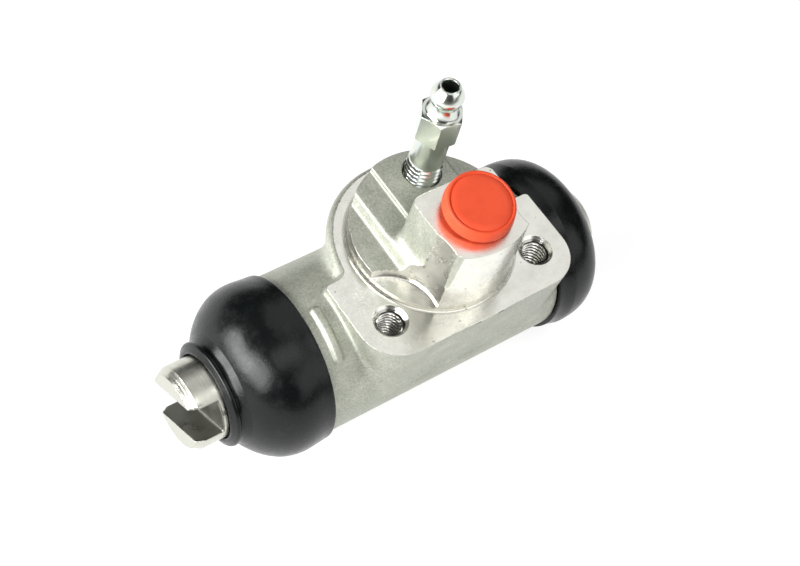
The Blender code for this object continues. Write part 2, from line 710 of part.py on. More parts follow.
def make_expander(name, side, inner, finish):
    """Pressed dish that stands in the cup, spreads its lip and centres the spring."""
    front = expander_front(inner)
    back = front + EXPANDER_SHEET
    rim_x = inner - SEAT_GAP - CUP_LENGTH - EXPANDER_RIM_PROUD
    foot = CUP_RADIUS - CUP_ROOT_WALL - CUP_ROOT_ROUND - SEAT_GAP - EXPANDER_SHEET
    rim = CUP_RADIUS - CUP_LIP_WALL - SEAT_GAP - EXPANDER_SHEET
    half_sheet = EXPANDER_SHEET / 2
    profile = [
        (back - EXPANDER_HUB_HEIGHT, EXPANDER_HOLE_RADIUS),
        (back - EXPANDER_HUB_HEIGHT, EXPANDER_HUB_RADIUS - EXPANDER_SHEET),
        (back, EXPANDER_HUB_RADIUS),
        (back, foot),
        (rim_x, rim),
        (rim_x, rim - EXPANDER_SHEET),
        (front, foot - EXPANDER_SHEET),
        (front, EXPANDER_HUB_RADIUS + half_sheet),
        (front - EXPANDER_HUB_HEIGHT, EXPANDER_HUB_RADIUS - half_sheet),
        (front - EXPANDER_HUB_HEIGHT, EXPANDER_HOLE_RADIUS),
    ]
    turned(name, profile + profile[:1], MIDDLE_STEPS, "X", finish, AXIS_PLACE, side)


def make_spring(finish):
    """Coil spring between the two expanders, with its two ends closed up to stand flat."""
    clear = SEAT_GAP + SPRING_WIRE_RADIUS
    left = clear - expander_front(PISTON_INNER_X)
    right = expander_front(PISTON_INNER_X - PISTON_PUSHED_IN) - clear
    count = SPRING_TURNS * SPRING_POINTS_PER_TURN
    turns = np.linspace(0.0, SPRING_TURNS, count + 1)
    along = np.interp(
        turns,
        [0.0, 1.0, SPRING_TURNS - 1.0, SPRING_TURNS],
        [left, left + SPRING_END_PITCH, right - SPRING_END_PITCH, right],
    )
    angles = 2 * math.pi * turns
    coil_radius = EXPANDER_HUB_RADIUS + EXPANDER_SHEET / 2 + SEAT_GAP + SPRING_WIRE_RADIUS
    curve = bpy.data.curves.new("return_spring", "CURVE")
    curve.dimensions = "3D"
    curve.bevel_depth = SPRING_WIRE_RADIUS
    curve.bevel_resolution = 1
    curve.use_fill_caps = True
    line = curve.splines.new("POLY")
    line.points.add(count)
    for point, x, angle in zip(line.points, along, angles):
        y = coil_radius * math.cos(angle)
        z = coil_radius * math.sin(angle)
        point.co = (x, y, z, 1.0)
    curve.materials.append(finish)
    spring = bpy.data.objects.new("return_spring", curve)
    spring.location = AXIS_PLACE
    bpy.context.scene.collection.objects.link(spring)


def dome(start, radius, end, end_radius, power, share, steps):
    """Super-ellipse from the full width at the start in towards the piston, up to a share of its length."""
    shares = np.sin(np.linspace(0.0, math.pi / 2, steps + 1)) * share
    heights = (1 - shares**power) ** (1 / power)
    along = start + (end - start) * shares
    radii = end_radius + (radius - end_radius) * heights
    return list(zip(along.tolist(), radii.tolist()))


def boot_foot(outer, inner):
    """Closes a boot's outline with what both have: the rim outside, and the collar and bead inside."""
    start = SEAT_START + SEAT_GAP
    collar = SEAT_RADIUS + SEAT_GAP
    bead = collar - GROOVE_DEPTH
    groove_end = GROOVE_START + GROOVE_WIDTH
    rim = [(start, BOOT_RIM_RADIUS), (BOOT_RIM_END_X, BOOT_RIM_RADIUS)]
    foot = [
        (BARREL_HALF_LENGTH + SEAT_GAP, collar),
        (groove_end - SEAT_GAP, collar),
        (groove_end - SEAT_GAP, bead),
        (GROOVE_START + SEAT_GAP, bead),
        (GROOVE_START + SEAT_GAP, collar),
        (start, collar),
    ]
    return rim + outer + inner + foot + rim[:1]


def left_boot_profile():
    """Dome, neck, bead and tip outside, then the lip and the hollow inside."""
    shape = (LEFT_DOME_END_X, DOME_END_RADIUS, LEFT_DOME_POWER, LEFT_DOME_SHARE)
    outer = dome(LEFT_DOME_START_X, LEFT_DOME_RADIUS, *shape, DOME_STEPS)
    outer += [
        (BOOT_BEAD_X, BOOT_BEAD_RADIUS),
        (BOOT_BEAD_X + BOOT_BEAD_LENGTH, BOOT_BEAD_RADIUS - BOOT_BEAD_DROP),
        (BOOT_TIP_X, BOOT_TIP_RADIUS),
        (BOOT_TIP_X, BOOT_LIP_RADIUS),
    ]
    hollow = dome(
        LEFT_DOME_START_X,
        LEFT_DOME_RADIUS - BOOT_WALL,
        LEFT_DOME_END_X - BOOT_WALL,
        DOME_END_RADIUS - BOOT_WALL,
        LEFT_DOME_POWER,
        LEFT_DOME_SHARE,
        HOLLOW_STEPS,
    )
    inner = [(BOOT_TIP_X - BOOT_LIP_LENGTH, BOOT_LIP_RADIUS)] + hollow[::-1]
    return boot_foot(outer, inner)


def right_boot_profile():
    """Bulging dome that turns over a rounded crown and runs back in to the lip."""
    shape = (RIGHT_DOME_END_X, DOME_END_RADIUS, RIGHT_DOME_POWER, RIGHT_DOME_SHARE)
    tip = BOOT_TIP_X - PISTON_PUSHED_IN
    outer = dome(RIGHT_DOME_START_X, RIGHT_DOME_RADIUS, *shape, DOME_STEPS)
    crown_x, crown_radius = outer[-1]
    outer += [
        (crown_x - ROLL_DROP, crown_radius - ROLL_ROUND),
        (crown_x - ROLL_DEPTH, crown_radius - ROLL_WIDTH),
        (tip + ROLL_BEAD_SETBACK, BOOT_BEAD_RADIUS),
        (tip, BOOT_TIP_RADIUS),
        (tip, BOOT_LIP_RADIUS),
    ]
    hollow = dome(
        RIGHT_DOME_START_X,
        RIGHT_DOME_RADIUS - BOOT_WALL,
        RIGHT_DOME_END_X - BOOT_WALL,
        DOME_END_RADIUS + BOOT_WALL,
        RIGHT_DOME_POWER,
        RIGHT_INNER_SHARE,
        HOLLOW_STEPS,
    )
    inner_x, inner_radius = hollow[-1]
    inner = [
        (tip - BOOT_LIP_LENGTH, BOOT_LIP_RADIUS),
        (tip - BOOT_LIP_LENGTH, BOOT_LIP_RADIUS + ROLL_ROUND),
        (inner_x - ROLL_ROUND, inner_radius - ROLL_ROUND),
    ]
    return boot_foot(outer, inner + hollow[::-1])


def hexagon(turn):
    corner = HEX_ACROSS_FLATS / math.sqrt(3)
    angles = [turn + i * math.pi / 3 for i in range(6)]
    return [(corner * math.cos(a), corner * math.sin(a)) for a in angles]


def hex_shape():
    """Hexagon whose corners are turned away to a cone at the top and the bottom."""
    prism = extruded("hex_form", hexagon(HEX_TURN), HEX_BOTTOM, HEX_TOP, "Z")
    flat = HEX_ACROSS_FLATS / 2
    corner = HEX_ACROSS_FLATS / math.sqrt(3)
    wide = corner + OVERCUT
    drop = HEX_CHAMFER_DROP / (corner - flat) * (wide - flat)
    profile = [
        (HEX_BOTTOM - OVERCUT, flat),
        (HEX_BOTTOM, flat),
        (HEX_BOTTOM + drop * 0.6, wide),
        (HEX_TOP - drop, wide),
        (HEX_TOP, flat),
        (HEX_TOP + OVERCUT, flat),
    ]
    chamfer = turned("hex_chamfer_form", profile, MIDDLE_STEPS, "Z")
    boolean(prism, chamfer, "INTERSECT")
    prism.location = (BLEED_X, BLEED_Y, 0.0)
    chamfer.location = prism.location
    return prism


def make_bleed_screw(finish):
    """Bleed screw: seat cone, thread core, plain shank, hexagon, neck and hose nipple."""
    profile = [
        (BLEED_TIP_Z, BLEED_TIP_RADIUS),
        (BLEED_TIP_Z + BLEED_CONE_HEIGHT, BLEED_THREAD_RADIUS - THREAD_LEAD_IN),
        (BLEED_TIP_Z + BLEED_CONE_HEIGHT + THREAD_LEAD_IN, BLEED_THREAD_RADIUS),
        (BLEED_THREAD_TOP - THREAD_LEAD_IN, BLEED_THREAD_RADIUS),
        (BLEED_THREAD_TOP, BLEED_SHANK_RADIUS),
        (HEX_BOTTOM + OVERCUT, BLEED_SHANK_RADIUS),
        (HEX_TOP - OVERCUT, NECK_FOOT_RADIUS),
        (NECK_FOOT_Z, NECK_FOOT_RADIUS),
        (NECK_Z, NECK_RADIUS),
        (BARB_SHOULDER_Z, BARB_RADIUS - BARB_ROUND),
        (BARB_Z, BARB_RADIUS),
        (BARB_TURN_IN_Z, BARB_RADIUS - BARB_ROUND),
        (NOSE_Z - NOSE_CHAMFER, NOSE_RADIUS),
        (NOSE_Z, NOSE_RADIUS - NOSE_CHAMFER),
    ]
    origin = (BLEED_X, BLEED_Y, 0.0)
    screw = turned("bleed_screw", profile, SMALL_STEPS, "Z", finish, origin)
    boolean(screw, hex_shape(), "UNION")
    drill = [(BLEED_DRILL_BOTTOM, BLEED_DRILL_RADIUS), (NOSE_Z + OVERCUT, BLEED_DRILL_RADIUS)]
    boolean(screw, turned("bleed_drill_cut", drill, HOLE_STEPS, "Z", origin=origin), "DIFFERENCE")
    cross = [(-BLEED_MOUTH_RADIUS, CROSS_DRILL_RADIUS), (BLEED_MOUTH_RADIUS, CROSS_DRILL_RADIUS)]
    level = BLEED_DRILL_BOTTOM + CROSS_DRILL_RADIUS * 1.5
    place = (BLEED_X, BLEED_Y, level)
    boolean(screw, turned("cross_drill_cut", cross, HOLE_STEPS, "X", origin=place), "DIFFERENCE")


def make_plug(finish):
    """Moulded shipping plug, which stands a little askew: a grooved head and a hollow, tapered stem."""
    groove_inner = PLUG_GROOVE_RADIUS - PLUG_GROOVE_WIDTH
    groove_floor = PLUG_HEAD_HEIGHT - PLUG_GROOVE_DEPTH
    profile = [
        (-PLUG_STEM_LENGTH, PLUG_STEM_END_RADIUS - PLUG_EDGE),
        (PLUG_EDGE - PLUG_STEM_LENGTH, PLUG_STEM_END_RADIUS),
        (0.0, PLUG_STEM_RADIUS),
        (0.0, PLUG_HEAD_RADIUS),
        (PLUG_HEAD_HEIGHT - PLUG_EDGE, PLUG_TOP_RADIUS),
        (PLUG_HEAD_HEIGHT, PLUG_TOP_RADIUS - PLUG_EDGE),
        (PLUG_HEAD_HEIGHT, PLUG_GROOVE_RADIUS),
        (groove_floor, PLUG_GROOVE_RADIUS),
        (groove_floor, groove_inner),
        (PLUG_HEAD_HEIGHT, groove_inner),
    ]
    bore = PLUG_STEM_END_RADIUS - PLUG_WALL
    hollow = [(-PLUG_STEM_LENGTH - OVERCUT, bore), (PLUG_HEAD_HEIGHT - PLUG_WALL, bore)]
    plug = turned("inlet_plug", profile, MIDDLE_STEPS, "Z", finish, PLUG_PLACE)
    cut = turned("plug_hollow_cut", hollow, SMALL_STEPS, "Z", origin=PLUG_PLACE)
    for made in (plug, cut):
        made.rotation_euler = PLUG_TILT
    boolean(plug, cut, "DIFFERENCE")


def build():
    clear_scene()
    cast = material("cast_aluminium", (0.56, 0.57, 0.53), 0.42, 0.85)
    steel = material("turned_steel", (0.62, 0.60, 0.56), 0.28, 1.0)
    rubber = material("black_rubber", (0.012, 0.013, 0.014), 0.32, 0.0)
    zinc = material("zinc_plate", (0.60, 0.66, 0.66), 0.25, 1.0)
    spring_steel = material("spring_steel", (0.30, 0.30, 0.31), 0.35, 1.0)
    orange = material("orange_plastic", (0.80, 0.08, 0.03), 0.45, 0.0)
    make_body(cast)
    pushed_in = PISTON_INNER_X - PISTON_PUSHED_IN
    ends = (("left", -1, PISTON_INNER_X, LEFT_SLOT_TURN), ("right", 1, pushed_in, RIGHT_SLOT_TURN))
    for label, side, inner, turn in ends:
        make_piston(f"{label}_piston", side, inner, turn, steel)
        make_cup(f"{label}_piston_cup", side, inner, rubber)
        make_expander(f"{label}_cup_expander", side, inner, zinc)
    turned("left_dust_boot", left_boot_profile(), MIDDLE_STEPS, "X", rubber, AXIS_PLACE, -1)
    turned("right_dust_boot", right_boot_profile(), MIDDLE_STEPS, "X", rubber, AXIS_PLACE, 1)
    make_spring(spring_steel)
    make_bleed_screw(zinc)
    make_plug(orange)


build()
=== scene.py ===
"""Looks of a hydraulic wheel cylinder: an aluminium casting with two slotted pistons under rubber boots.

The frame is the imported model's: metres, +Z the machined mounting face's normal, X along the bore.
Shapes are worked out in millimetres and turned into metres when their mesh is made.
"""

import math

import bpy
import numpy as np
from mathutils import Euler, Matrix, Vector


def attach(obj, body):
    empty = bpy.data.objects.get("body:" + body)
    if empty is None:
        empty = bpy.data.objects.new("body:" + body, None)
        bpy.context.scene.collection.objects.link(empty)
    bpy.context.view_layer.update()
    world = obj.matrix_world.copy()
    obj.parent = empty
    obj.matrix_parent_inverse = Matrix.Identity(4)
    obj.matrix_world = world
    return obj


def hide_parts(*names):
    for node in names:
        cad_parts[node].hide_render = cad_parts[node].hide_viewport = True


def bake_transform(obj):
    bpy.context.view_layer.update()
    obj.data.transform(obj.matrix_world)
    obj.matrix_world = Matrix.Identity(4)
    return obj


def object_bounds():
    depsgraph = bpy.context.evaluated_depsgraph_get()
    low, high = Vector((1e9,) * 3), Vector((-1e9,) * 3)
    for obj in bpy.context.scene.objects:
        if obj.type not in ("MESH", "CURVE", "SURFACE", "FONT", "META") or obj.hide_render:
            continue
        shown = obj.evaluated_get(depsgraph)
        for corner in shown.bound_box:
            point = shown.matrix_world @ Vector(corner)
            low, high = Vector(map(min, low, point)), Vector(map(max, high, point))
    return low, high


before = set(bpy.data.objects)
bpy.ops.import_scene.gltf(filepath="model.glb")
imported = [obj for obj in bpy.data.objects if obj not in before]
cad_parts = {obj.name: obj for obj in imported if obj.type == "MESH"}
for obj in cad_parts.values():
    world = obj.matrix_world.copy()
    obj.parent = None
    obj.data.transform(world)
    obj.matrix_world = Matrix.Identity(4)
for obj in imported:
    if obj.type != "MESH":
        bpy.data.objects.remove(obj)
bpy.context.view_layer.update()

MM = 0.001

# Bore and barrel, as in the solids
MIDDLE_X = -4.1
AXIS_Y = -1.5
AXIS_Z = -20.1
BORE_RADIUS = 9.525
PISTON_RADIUS = 9.325
BARREL_RADIUS = 18.2
BARREL_HALF = 35.2
SEAT_START = 29.9
SEAT_RADIUS = 16.8

# Fixing holes, inlet port and bleed port
HOLE_X = 19.2
HOLE_Y = -13.0
HOLE_DRILL = 3.25
HOLE_SINK = 3.85
PORT_X = 0.9
PORT_Y = -8.5
PORT_RADIUS = 4.6
BLEED_X = 4.0
BLEED_Y = 11.5

# Clearances milled round the bolt heads
SCALLOP_FLOOR = 1.2
SCALLOP_RADIUS = {-1: 10.15, 1: 9.6}
SCALLOP_DRAFT = 0.03
SCALLOP_CORNER = 0.6

# The turned pilot, the groove at its foot and the top of the port's boss
PILOT_RADIUS = 18.0
GROOVE_OUT = 18.8
BOSS_TOP = 19.3

# Number of the turned finish among the casting's materials
TURNED = 1


def mix_low(a, b, k):
    """The lower of two distances, rounded where they meet: a hollow fillet of about 0.85 k."""
    h = np.clip(0.5 + 0.5 * (b - a) / k, 0.0, 1.0)
    return b + (a - b) * h - k * h * (1.0 - h)


def mix_high(a, b, k):
    """The higher of two distances, with the outer edge rounded in the same way."""
    return -mix_low(-a, -b, k)


def plan_outline(x, y, half_x, front, back, front_radius, back_radius, middle_x=0.0):
    """Distance in plan to a rectangle with one corner radius in front and one at the back."""
    middle_y = (front + back) / 2
    radius = np.where(y < middle_y, front_radius, back_radius)
    out_x = np.abs(x - middle_x) - half_x + radius
    out_y = np.abs(y - middle_y) - (back - front) / 2 + radius
    outside = np.hypot(np.maximum(out_x, 0.0), np.maximum(out_y, 0.0))
    return outside + np.minimum(np.maximum(out_x, out_y), 0.0) - radius


def raw_casting(x, y, z):
    """Distance to the casting before it is machined, negative inside.

    barrel = cylinder about the bore; flange = rounded disc over a cone; lug = drafted two-eared plate;
    all three flow together with the fillets of a casting. The stepped pilot and the boss stand on them.
    """
    around = np.hypot(y - AXIS_Y, z - AXIS_Z)
    along = np.abs(x - MIDDLE_X)
    r = np.hypot(x, y)
    barrel = np.maximum(around - BARREL_RADIUS, along - BARREL_HALF)

    rim = np.hypot(np.maximum(r - 20.2, 0.0), np.maximum(z + 1.9, 0.0))
    rim = rim + np.minimum(np.maximum(r - 20.2, z + 1.9), 0.0) - 2.0
    cone = (r - 22.2 - (z + 4.5) * 5.0 / 13.0) * 0.933
    flange = mix_high(rim, cone, 1.6)
    flange = np.maximum(flange, np.maximum(-17.5 - z, -21.5 - y))

    draft = math.tan(math.radians(6.5))
    growth = np.minimum(z, 0.0) * draft
    plate = plan_outline(x, y, 26.8 + growth, -21.85 - growth, 0.3, 8.8 + growth, 1.0)
    plate = plate * math.cos(math.radians(6.5))
    lug = np.maximum(plate, np.maximum(z - 0.6, -18.0 - z))
    relief = np.maximum(29.7 - along, around - 19.4)
    lug = np.maximum(lug, -relief)

    skin = mix_low(barrel, flange, 3.0)
    skin = mix_low(skin, lug, 1.8)

    angle = np.arctan2(-(y - AXIS_Y), z - AXIS_Z)
    over = (np.abs(angle - math.radians(21.5)) - math.radians(17.0)) * BARREL_RADIUS
    rib = np.hypot(np.maximum(np.abs(x + 30.9) - 0.15, 0.0), np.maximum(over, 0.0))
    rib = np.hypot(rib, np.maximum(around - BARREL_RADIUS - 0.05, 0.0)) - 0.9
    skin = mix_low(skin, rib, 0.7)

    front = AXIS_Y - np.sqrt(np.maximum(BARREL_RADIUS**2 - (z - AXIS_Z) ** 2, 1.0))
    ledge = np.maximum(np.abs(x + 5.0) - 9.8, np.abs(z + 18.6) - 0.4)
    ledge = np.maximum(ledge, np.abs(y - front) - 0.75)
    skin = mix_low(skin, ledge, 0.35)

    floor = z - 3.5
    slope = (-(x + 12.3) * 3.0 + (z - 3.5) * 1.1) / 3.195
    shelf = mix_high(z - 6.5, slope, 0.9)
    land = mix_high(z - 7.8, np.abs(x - 2.85) - 8.15, 0.7)
    steps = mix_low(mix_low(floor, shelf, 0.8), land, 0.6)
    pilot = np.maximum(steps, np.maximum(r - 18.6, -1.5 - z))

    widen = (19.3 - z) * math.tan(math.radians(2.5))
    boss = plan_outline(
        x, y, 10.0 + widen, -19.5 - widen, 0.7 + widen, 8.0 + widen, 1.9 + widen, 0.7
    )
    boss = np.maximum(boss, np.maximum(z - 20.0, -1.5 - z))
    return np.minimum(skin, mix_low(pilot, boss, 2.8))


def scallop(x, y, z, side):
    """The milled clearance round one bolt head: a drafted cylinder down to its floor, its corner rounded."""
    radius = SCALLOP_RADIUS[side] + SCALLOP_DRAFT * (z - SCALLOP_FLOOR)
    wall = np.hypot(x - side * HOLE_X, y - HOLE_Y) - radius
    return mix_high(wall, SCALLOP_FLOOR - z, SCALLOP_CORNER)


def cast_body(x, y, z):
    """The raw casting less what the machine shop takes off: faces, scallops, holes, ports, seats, bore."""
    around = np.hypot(y - AXIS_Y, z - AXIS_Z)
    along = np.abs(x - MIDDLE_X)
    r = np.hypot(x, y)
    body = raw_casting(x, y, z)
    body = np.maximum(body, np.minimum(r - PILOT_RADIUS, z))
    body = np.maximum(body, z - BOSS_TOP)
    middle = (PILOT_RADIUS + GROOVE_OUT) / 2
    channel = np.maximum(np.abs(r - middle) - (GROOVE_OUT - PILOT_RADIUS) / 2, -0.62 - z)
    body = np.maximum(body, -channel)
    for side in (-1, 1):
        body = np.maximum(body, -scallop(x, y, z, side))
        hole = np.hypot(x - side * HOLE_X, y - HOLE_Y)
        drill = np.maximum(hole - HOLE_DRILL, -10.5 - z - (HOLE_DRILL - hole) * 0.6)
        sink = np.maximum((hole - HOLE_SINK - z) * 0.7071, z - 0.3)
        body = np.maximum(body, -np.minimum(drill, sink))
    seat = np.maximum(SEAT_START - along, SEAT_RADIUS - around)
    groove = np.maximum(np.abs(along - 32.1) - 0.8, 15.6 - around)
    body = np.maximum(body, -np.maximum(seat, around - 18.6))
    body = np.maximum(body, -groove)
    chamfer = (around - BORE_RADIUS - 0.8 - along + BARREL_HALF) * 0.7071
    bore = np.minimum(around - BORE_RADIUS, chamfer)
    body = np.maximum(body, -bore)
    port = np.hypot(x - PORT_X, y - PORT_Y)
    inlet = np.maximum(port - PORT_RADIUS, 7.8 - z - (PORT_RADIUS - port) * 0.6)
    mouth = np.maximum((port - 5.2 - z + 19.3) * 0.7071, 18.0 - z)
    passage = np.maximum(port - 1.2, AXIS_Z - z)
    body = np.maximum(body, -np.minimum(np.minimum(inlet, mouth), passage))
    bleed = np.hypot(x - BLEED_X, y - BLEED_Y)
    wide = np.maximum(bleed - 4.4, 6.4 - z)
    deep = np.maximum(bleed - 4.2, -5.5 - z + np.maximum(bleed - 0.8, 0.0))
    return np.maximum(body, -np.minimum(wide, deep))


def piston_shape(inner, outer, side, turn):
    """A function giving the distance to one piston: turned ends and the slot for the shoe's web."""

    def distance(x, y, z):
        along = side * x
        around = np.hypot(y - AXIS_Y, z - AXIS_Z)
        body = np.maximum(around - PISTON_RADIUS, np.maximum(inner - along, along - outer))
        body = np.maximum(body, (along - outer + 1.9 + (around - PISTON_RADIUS) * 1.7) * 0.507)
        body = np.maximum(body, (inner - along + 0.6 + around - PISTON_RADIUS) * 0.7071)
        across = (y - AXIS_Y) * math.sin(turn) + (z - AXIS_Z) * math.cos(turn)
        slot = mix_high(np.abs(across) - 3.85, outer - 6.2 - along, 0.8)
        return mix_high(body, -slot, 0.35)

    return distance


def gradient(distance, points, reach=0.004):
    """Unit normals: the slope of the distance at each point, by central differences."""
    found = np.empty_like(points)
    for axis in range(3):
        ahead = points.copy()
        back = points.copy()
        ahead[:, axis] += reach
        back[:, axis] -= reach
        found[:, axis] = distance(*ahead.T) - distance(*back.T)
    return found / np.maximum(np.linalg.norm(found, axis=1), 1e-12)[:, None]


def level_surface(distance, low, high, step):
    """The skin where distance(x, y, z) is zero, as points and four-sided faces.

    Each grid edge that the skin crosses gives a point and its normal. Each cell then gets the one point
    that lies nearest all its tangent planes, which keeps edges sharp, and each edge joins its four cells.
    """
    low = np.asarray(low, float)
    counts = np.ceil((np.asarray(high, float) - low) / step).astype(int) + 1
    axes = [low[i] + step * np.arange(counts[i]) for i in range(3)]
    field = distance(axes[0][:, None, None], axes[1][None, :, None], axes[2][None, None, :])
    field = np.broadcast_to(field, tuple(counts))
    inside = field < 0
    cells = counts - 1
    spots, normals, corners, quads = [], [], [], []
    for axis in range(3):
        first = [slice(None)] * 3
        last = [slice(None)] * 3
        first[axis] = slice(0, -1)
        last[axis] = slice(1, None)
        index = np.argwhere(inside[tuple(first)] != inside[tuple(last)])
        beyond = index.copy()
        beyond[:, axis] += 1
        start = field[tuple(index.T)]
        end = field[tuple(beyond.T)]
        base = low + index * step
        near = np.zeros(len(index))
        far = np.ones(len(index))
        share = start / (start - end)
        for _ in range(4):
            point = base.copy()
            point[:, axis] += share * step
            value = distance(*point.T)
            same = (value < 0) == (start < 0)
            near = np.where(same, share, near)
            start = np.where(same, value, start)
            far = np.where(same, far, share)
            end = np.where(same, end, value)
            share = near + (far - near) * np.clip(start / (start - end + 1e-15), 0.02, 0.98)
        point = base.copy()
        point[:, axis] += share * step
        b, c = (axis + 1) % 3, (axis + 2) % 3
        around = []
        for back_b, back_c in ((1, 1), (0, 1), (0, 0), (1, 0)):
            cell = index.copy()
            cell[:, b] -= back_b
            cell[:, c] -= back_c
            around.append(np.ravel_multi_index(tuple(cell.T), tuple(cells), mode="clip"))
        around = np.stack(around, axis=1)
        outward = inside[tuple(index.T)]
        quads.append(np.where(outward[:, None], around, around[:, ::-1]))
        corners.append(around)
        spots.append(point)
        normals.append(gradient(distance, point))
    spots = np.concatenate(spots)
    normals = np.concatenate(normals)
    corners = np.concatenate(corners)
    used, corners = np.unique(corners, return_inverse=True)
    corners = corners.reshape(-1, 4).ravel()
    whose = np.repeat(np.arange(len(spots)), 4)
    total = len(used)

    def gathered(values):
        return np.bincount(corners, weights=values[whose], minlength=total)

    share = np.bincount(corners, minlength=total)[:, None]
    middle = np.stack([gathered(spots[:, i]) for i in range(3)], axis=1) / share
    planes = np.empty((total, 3, 3))
    level = np.sum(normals * spots, axis=1)
    offset = np.stack([gathered(normals[:, i] * level) for i in range(3)], axis=1)
    for i in range(3):
        for j in range(3):
            planes[:, i, j] = gathered(normals[:, i] * normals[:, j])
    offset -= np.einsum("nij,nj->ni", planes, middle)
    planes += np.eye(3) * 0.03
    moved = middle + np.linalg.solve(planes, offset[:, :, None])[:, :, 0]
    cell_low = low + np.stack(np.unravel_index(used, tuple(cells)), axis=1) * step
    points = np.clip(moved, cell_low, cell_low + step)
    faces = np.searchsorted(used, np.concatenate(quads))
    return points, faces


def mesh_object(name, points, faces, materials, chosen=None, normals=None, sharp=None):
    """A mesh piece in metres, at the origin, from points in millimetres."""
    mesh = bpy.data.meshes.new(name)
    mesh.from_pydata((points * MM).tolist(), [], np.asarray(faces).tolist())
    for finish in materials:
        mesh.materials.append(finish)
    if chosen is not None:
        mesh.polygons.foreach_set("material_index", np.asarray(chosen, np.int32))
    mesh.shade_smooth()
    if sharp is not None:
        mesh.set_sharp_from_angle(angle=math.radians(sharp))
    if normals is not None:
        mesh.normals_split_custom_set(normals.tolist())
    mesh.update()
    made = bpy.data.objects.new(name, mesh)
    bpy.context.scene.collection.objects.link(made)
    return made


def skinned(name, distance, low, high, step, materials, choose=None):
    """A level surface whose shading normals come from the distance itself, a little inside each face."""
    points, faces = level_surface(distance, low, high, step)
    centres = points[faces].mean(axis=1)
    inner = points[faces] * 0.7 + centres[:, None, :] * 0.3
    normals = gradient(distance, inner.reshape(-1, 3))
    chosen = choose(centres) if choose else None
    return mesh_object(name, points, faces, materials, chosen, normals)


def rounded_off(points, passes):
    """A closed outline with its corners cut, each pass at a quarter of every side."""
    line = np.asarray(points, float)
    for _ in range(passes):
        following = np.roll(line, -1, axis=0)
        cut = np.stack([line * 0.75 + following * 0.25, line * 0.25 + following * 0.75], axis=1)
        line = cut.reshape(-1, 2)
    return line


def grid_faces(rows, columns, closed):
    """Four-sided faces of a grid whose columns, and rows if closed, run round to the start."""
    row = np.arange(rows if closed else rows - 1)[:, None]
    column = np.arange(columns)[None, :]
    beyond = (row + 1) % rows
    beside = (column + 1) % columns
    corners = (row * columns + column, row * columns + beside, beyond * columns + beside)
    corners += (beyond * columns + column,)
    return np.stack(np.broadcast_arrays(*corners), axis=-1).reshape(-1, 4)


def revolved(along, radius, angles):
    """Points of a turned surface about Z: (r cos t, r sin t, along) for each station and angle."""
    radius = np.broadcast_to(radius, (len(along), len(angles)))
    along = np.broadcast_to(np.asarray(along)[:, None], radius.shape)
    spun = (radius * np.cos(angles), radius * np.sin(angles), along)
    return np.stack(spun, axis=-1).reshape(-1, 3)


def node(tree, kind, values=None, **settings):
    made = tree.nodes.new(kind)
    for key, value in settings.items():
        setattr(made, key, value)
    for key, value in (values or {}).items():
        made.inputs[key].default_value = value
    return made


def finish_base(name, colour, roughness, metallic, **more):
    """A material with its shader's plain values set; returns it with its tree and shader."""
    made = bpy.data.materials.new(name)
    made.use_nodes = True
    tree = made.node_tree
    shader = tree.nodes["Principled BSDF"]
    shader.inputs["Base Color"].default_value = (*colour, 1.0)
    shader.inputs["Roughness"].default_value = roughness
    shader.inputs["Metallic"].default_value = metallic
    for key, value in more.items():
        shader.inputs[key.replace("_", " ")].default_value = value
    return made, tree, shader


def place(tree, scale=(1.0, 1.0, 1.0)):
    """Object coordinates, scaled: at the origin these are the frame's own metres."""
    coordinates = node(tree, "ShaderNodeTexCoord")
    mapping = node(tree, "ShaderNodeMapping", {"Scale": scale})
    tree.links.new(coordinates.outputs["Object"], mapping.inputs["Vector"])
    return mapping.outputs["Vector"]


def noise(tree, vector, scale, detail=3.0, rough=0.55):
    made = node(tree, "ShaderNodeTexNoise", {"Scale": scale, "Detail": detail, "Roughness": rough})
    tree.links.new(vector, made.inputs["Vector"])
    return made.outputs["Fac"]


def ramp(tree, factor, stops):
    """Values or colours along a factor, from (place, value) pairs."""
    made = node(tree, "ShaderNodeValToRGB")
    line = made.color_ramp
    while len(line.elements) < len(stops):
        line.elements.new(0.5)
    for element, (where, value) in zip(line.elements, stops):
        element.position = where
        element.color = (*value, 1.0) if isinstance(value, tuple) else (value, value, value, 1.0)
    tree.links.new(factor, made.inputs["Fac"])
    return made.outputs["Color"]


def bumped(tree, shader, height, strength, depth, edge=0.0):
    """Bump from a height, over edges that look broken by a small radius."""
    bump = node(tree, "ShaderNodeBump", {"Strength": strength, "Distance": depth})
    tree.links.new(height, bump.inputs["Height"])
    if edge:
        bevel = node(tree, "ShaderNodeBevel", {"Radius": edge}, samples=4)
        tree.links.new(bevel.outputs["Normal"], bump.inputs["Normal"])
    tree.links.new(bump.outputs["Normal"], shader.inputs["Normal"])


def reckon(tree, kind, *sides):
    """One sum or test on plain numbers and on other nodes' values."""
    made = node(tree, "ShaderNodeMath", operation=kind)
    for socket, side in zip(made.inputs, sides):
        if isinstance(side, (int, float)):
            socket.default_value = side
        else:
            tree.links.new(side, socket)
    return made.outputs["Value"]


def away_from(tree, spot, centre, keep):
    """Distance from the axis through centre, measured along the directions that keep lets through."""
    flat = node(tree, "ShaderNodeVectorMath", {1: keep}, operation="MULTIPLY")
    made = node(tree, "ShaderNodeVectorMath", {1: centre}, operation="DISTANCE")
    tree.links.new(spot, flat.inputs[0])
    tree.links.new(flat.outputs["Vector"], made.inputs[0])
    return made.outputs["Value"]


def as_line(tree, value):
    """A number as a point on a line, so that noise varies along it only."""
    made = node(tree, "ShaderNodeCombineXYZ")
    tree.links.new(value, made.inputs["X"])
    return made.outputs["Vector"]


